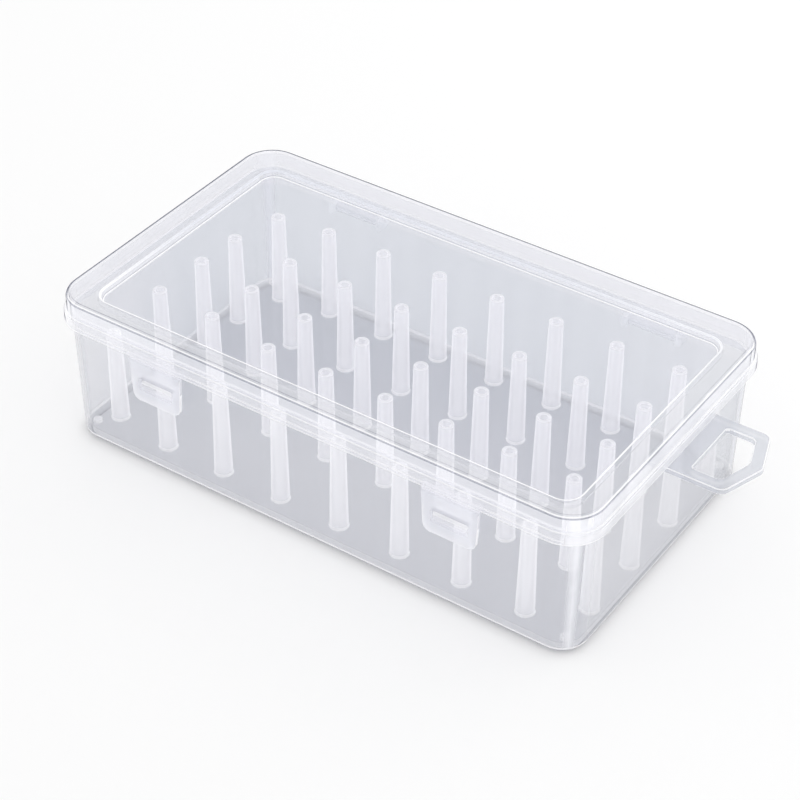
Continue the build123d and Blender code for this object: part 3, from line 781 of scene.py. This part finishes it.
print("making the finishes")
pegPlastic = makePlastic(pegLook)
latchPlastic = makePlastic(latchLook)
hingePlastic = makePlastic(hingeLook)
handlePlastic = makePlastic(handleLook)
rimPlastic = makePlastic(rimLook)
skirtPlastic = makePlastic(skirtLook)
edgeHighlightPlastic = makePlastic(edgeHighlightLook)
paintedShadePlastic = makePlastic(paintedShadeLook)
stepFootHighlightPlastic = makePlastic(stepFootHighlightLook)
trayFinishes = {
    "wall": makePlastic(wallLook), "floor": makePlastic(floorLook), "edge": edgeHighlightPlastic, "rim": rimPlastic,
    "foot": makePlastic(footBandShadeLook), "footLine": makePlastic(footHighlightLook),
    "footShade": makePlastic(footShadeLook), "inside": makePlastic(insideLook),
}
lidFinishes = {
    "panel": makePlastic(panelLook), "border": makePlastic(borderLook), "wall": makePlastic(lidWallLook),
    "skirt": skirtPlastic, "edge": edgeHighlightPlastic, "brim": makePlastic(brimLook), "undercut": paintedShadePlastic,
    "brimTop": makePlastic(brimTopLook), "rim": rimPlastic, "stepLip": makePlastic(stepLipLook),
    "stepFoot": stepFootHighlightPlastic,
}


def finishes(main, edge=edgeHighlightPlastic):
    # a small piece has one finish, another for its edges, by default the painted edge highlight, and a
    # painted shade for undercuts
    return {"main": main, "edge": edge, "undercut": paintedShadePlastic}


def dress(piece, materials, choose):
    # each face takes the finish that its place asks for
    names = list(materials)
    piece.data.materials.clear()
    for name in names:
        piece.data.materials.append(materials[name])
    for face in piece.data.polygons:
        face.material_index = names.index(choose(face.center / mm, face.normal))


def trayFinish(place, normal):
    # the lip has the painted edge highlight, and the foot's round has a painted highlight line above, a
    # painted grey band of shade and a painted shade line below
    if place.z > tray["top"] - tray["lip"]:
        return "edge"
    if place.z > tray["rimStart"] - 0.4:
        return "rim"
    if place.z < tray["outerRound"] and normal.z > -0.98:
        if place.z > tray["footLine"]:
            return "footLine"
        return "foot" if place.z > tray["footShade"] else "footShade"
    if place.z < tray["floor"] + 0.3:
        return "floor" if abs(normal.z) > 0.9 else "rim"
    return "inside" if place.x * normal.x + place.y * normal.y < 0 else "wall"


def lidFinish(place, normal):
    # the step has a bright lip and a bright foot under a dark line, the brim is bright above and dark below,
    # all painted highlight and shade
    inset = borderInset(place)
    stepTop = box["height"] - lid["fall"]
    beadTop = stepTop + lean(lid["stepBead"], lid["beadLean"])
    panelTop = box["height"] - lid["panelDepth"]
    if normal.z > 0.9 and inset > lid["stepInset"] - lid["stepBead"] and stepTop - 0.02 < place.z < beadTop:
        return "stepLip"
    if inset > lid["stepInset"] - 0.05 and place.z > panelTop - 0.1:
        if 0.32 < abs(normal.z) < 0.95:
            if place.z > stepTop - 0.4:
                return "stepLip"
            return "undercut" if normal.z < 0.6 else "stepFoot"
        return "panel" if abs(normal.z) > 0.5 else "rim"
    if inset > lid["stepInset"] - lid["wall"] + 0.3:
        return "rim" if abs(normal.z) < 0.95 else "panel"
    if normal.z > 0.4 and inset < slopeStart and place.z > box["height"] - lid["topRound"]:
        return "undercut" if normal.z < 0.7 else "brim" if normal.z < 0.9 else "brimTop"
    # the skirt's foot has a painted highlight line outside and another inside
    skirtFoot = -0.85 < normal.z < -0.12 and place.z < lid["skirtFoot"] + lid["skirtRound"]
    if skirtFoot or (inset > 2 and place.z < lid["skirtFoot"] + lid["footRound"] and normal.z > -0.98):
        return "edge"
    skirtTop = lid["skirtFoot"] + lid["skirtHeight"]
    if normal.z > 0.8 and abs(place.z - skirtTop) < 0.3:
        return "edge"
    if place.z > skirtTop + 0.05:
        return "border" if abs(normal.z) > 0.3 else "wall"
    return "skirt"


def plainFinish(place, normal):
    return "main"


def levelFinish(place, normal):
    # a level plate: its sides and rounds are edges, with the painted highlight
    return "main" if abs(normal.z) > 0.96 else "edge"


def roundFinish(place, normal):
    # only the rounds between faces are edges, with the painted highlight
    flat = max(abs(normal.x), abs(normal.y), abs(normal.z)) > 0.96
    return "main" if flat or abs(normal.z) < 0.25 else "edge"


def uprightFinish(place, normal):
    # an upright plate along the back: its sides and rounds are edges, with the painted highlight
    return "main" if abs(normal.y) > 0.96 else "edge"


def catchFinish(place, normal):
    # the wedge has the painted edge highlight on top
    return "main" if normal.z > 0.3 else "edge"


def tabFinish(place, normal):
    # the tab's outer sides are edges, with the painted edge highlight, and its window has a painted shade
    # along the top
    aside = min(abs(place.x - centre) for centre in latch["places"])
    if abs(normal.y) > 0.96 or place.z > latch["line"] - 1:
        return "main"
    if aside < latch["windowHalf"] + 0.4 and latch["windowFoot"] - 0.6 < place.z < latch["windowTop"] + 0.6:
        return "undercut" if normal.z < -0.3 else "main"
    return "edge"


def pegFinish(place, normal):
    # the lip and the foot are pale rings, a painted highlight
    return "edge" if place.z > pegs["top"] - pegs["lip"] or place.z < tray["floor"] + 1.3 else "main"


pegFinishes = finishes(pegPlastic, stepFootHighlightPlastic)
hingeFinishes = finishes(hingePlastic)
catchFinishes = finishes(edgeHighlightPlastic, skirtPlastic)
parts = [
    (trayShell, "base", "clear_base", trayFinishes, trayFinish, ("base_tray", "base_rim")),
    (lidShell, "lid", "clear_lid", lidFinishes, lidFinish, ("lid_panel", "lid_border", "lid_skirt")),
    (endPegs, "base", "clear_pegs", pegFinishes, pegFinish, ("pegs_end_column",)),
    (cornerNubs, "base", "clear_base", finishes(pegPlastic), levelFinish, ("corner_nubs",)),
    (carryHandle, "base", "clear_base", finishes(handlePlastic), roundFinish, ("carry_handle",)),
]
parts += [(piece, "base", "clear_pegs", pegFinishes, pegFinish, ("pegs_row_%d" % (row + 1),))
          for row, piece in enumerate(pegPieces)]
for i, side in enumerate(("left", "right")):
    parts += [
        (tabs[i], "latch_" + side, "clear_latch", finishes(latchPlastic), tabFinish, ("latch_tab_" + side,)),
        (mounts[i], "lid", "clear_lid", finishes(skirtPlastic), plainFinish, ("latch_mount_" + side,)),
        (catches[i], "base", "clear_base", catchFinishes, catchFinish, ("catch_" + side,)),
        (lugs[i], "base", "clear_base", hingeFinishes, roundFinish, ("hinge_lugs_" + side,)),
        (pins[i], "base", "clear_base", hingeFinishes, plainFinish, ("hinge_pin_" + side,)),
        (arms[i], "lid", "clear_lid", hingeFinishes, uprightFinish, ("hinge_arm_" + side,)),
    ]
for piece, body, slot, materials, choose, nodes in parts:
    dress(piece, materials, choose)
    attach(piece, body)
    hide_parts(*nodes)
print("pieces dressed:", len(parts))


# floor: matt white paper, which keeps the soft shadow of the box
sheetLook = {"width": 6000.0, "below": 0.05, "colour": "F0F0F0", "lift": 0.05}
workOn()
bpy.ops.mesh.primitive_plane_add(size=sheetLook["width"] * mm, location=(0, 0, -sheetLook["below"] * mm))
floor = bpy.context.object
floor.name = "paperFloor"
paper = bpy.data.materials.new("mattWhitePaper")
paper.use_nodes = True
tree = paper.node_tree
tree.nodes.clear()
ray = addNode(tree, "ShaderNodeLightPath")
seenDirect = addNode(tree, "ShaderNodeMath",
                     {0: ray.outputs["Is Camera Ray"], 1: ray.outputs["Is Glossy Ray"]}, operation="MAXIMUM")
seenAny = addNode(tree, "ShaderNodeMath", {0: seenDirect, 1: ray.outputs["Is Transmission Ray"]},
                  operation="MAXIMUM")
lift = addNode(tree, "ShaderNodeMath", {0: seenAny, 1: sheetLook["lift"]}, operation="MULTIPLY")
sheet = addNode(tree, "ShaderNodeBsdfDiffuse", {"Color": linear(sheetLook["colour"])})
glow = addNode(tree, "ShaderNodeEmission", {"Strength": lift})
both = addNode(tree, "ShaderNodeAddShader", {0: sheet, 1: glow})
addNode(tree, "ShaderNodeOutputMaterial", {"Surface": both})
floor.data.materials.append(paper)

# soft studio: a pale room, a softbox above, another behind, and a strip at each end
studio = {
    "room": "FAFAFA", "backdrop": "FFFFFF",
    "lamps": (
        ("topSoftbox", (100, -100, 1500), (1.6, 1.2), 1.0),
        ("backSoftbox", (500, 1100, 900), (1.0, 0.8), 3.0),
        ("leftStrip", (-1500, -200, 900), (0.3, 1.2), 0.4),
        ("rightStrip", (1500, 0, 900), (0.3, 1.2), 1.0),
    ),
}
world = bpy.data.worlds.new("softStudio")
bpy.context.scene.world = world
world.use_nodes = True
tree = world.node_tree
tree.nodes.clear()
ray = addNode(tree, "ShaderNodeLightPath")
room = addNode(tree, "ShaderNodeBackground", {"Color": linear(studio["room"]), "Strength": 1.0})
backdrop = addNode(tree, "ShaderNodeBackground", {"Color": linear(studio["backdrop"]), "Strength": 1.0})
whole = addNode(tree, "ShaderNodeMixShader", {0: ray.outputs["Is Camera Ray"], 1: room, 2: backdrop})
addNode(tree, "ShaderNodeOutputWorld", {"Surface": whole})

for name, place, size, power in studio["lamps"]:
    workOn()
    bpy.ops.object.light_add(type="AREA", location=[c * mm for c in place])
    lamp = bpy.context.object
    lamp.name = name
    lamp.data.shape = "RECTANGLE"
    lamp.data.size, lamp.data.size_y = size
    lamp.data.energy = power
    # the strips only fill, and leave no white bar on the panel
    lamp.visible_glossy = "Softbox" in name
    lamp.rotation_euler = (-lamp.location).to_track_quat("-Z", "Y").to_euler()
print("studio lit")

# camera: 34 degrees to the right of the front and 38 degrees up, as in the photograph
cameraLook = {"place": (379.0, -565.7, 558.6), "target": (59.3, -91.8, 110.4), "roll": 0.516, "view": 20.24}
workOn()
bpy.ops.object.camera_add(location=[c * mm for c in cameraLook["place"]])
camera = bpy.context.object
aim = (Vector(cameraLook["target"]) - Vector(cameraLook["place"])).to_track_quat("-Z", "Y")
camera.rotation_mode = "QUATERNION"
camera.rotation_quaternion = aim @ Quaternion((0, 0, 1), math.radians(cameraLook["roll"]))
camera.data.sensor_width = 36.0
camera.data.lens = camera.data.sensor_width / 2 / math.tan(math.radians(cameraLook["view"] / 2))
camera.data.clip_start, camera.data.clip_end = 0.05, 20
scene = bpy.context.scene
scene.camera = camera
scene.view_settings.view_transform = "Standard"
scene.cycles.diffuse_bounces = 2
scene.cycles.glossy_bounces = 3
scene.cycles.transparent_max_bounces = 64

print("scene ready")
